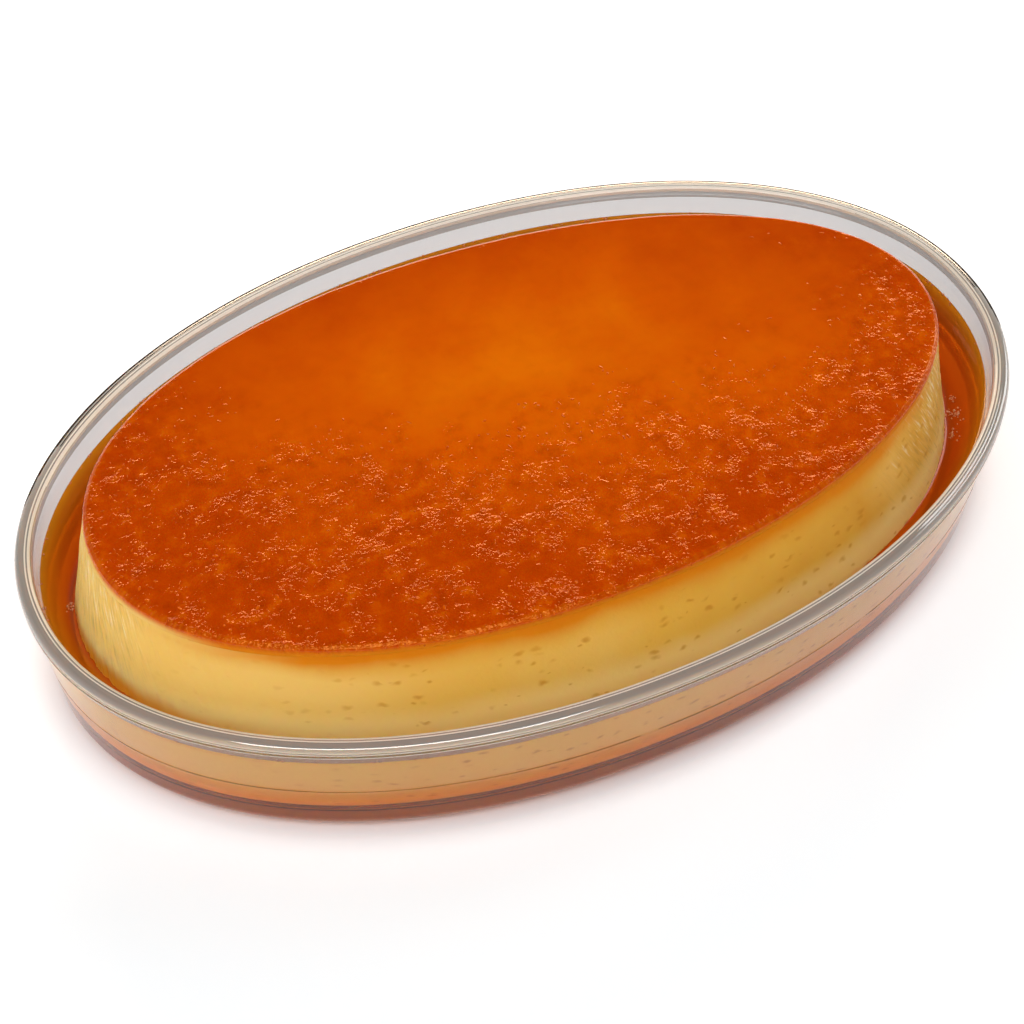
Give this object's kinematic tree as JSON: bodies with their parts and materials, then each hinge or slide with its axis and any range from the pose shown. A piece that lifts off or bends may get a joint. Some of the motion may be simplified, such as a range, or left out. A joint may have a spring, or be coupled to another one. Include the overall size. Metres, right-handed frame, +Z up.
{
  "type": "leche flan in a glass dish",
  "caption": "Oval steamed custard with a soaked caramel top, turned out into a clear glass oval dish with syrup round its foot.",
  "frame": {"origin": "middle of the dish's underside, on the surface that it stands on", "axes": "+Z up, +X along the dish's long side, +Y to the dish's back as the picture shows it"},
  "size_m": [0.25, 0.1592, 0.0532],
  "materials": {
    "clear_glass": "pressed clear glass, fire polished",
    "custard": "steamed egg custard, moist and finely pored",
    "caramel": "caramel soaked into the custard, wet and finely pitted",
    "syrup": "clear brown caramel syrup, liquid"
  },
  "bodies": {
    "root": {"dish": "clear_glass", "custard": "custard", "caramel_top": "caramel", "syrup": "syrup"}
  },
  "joints": []
}
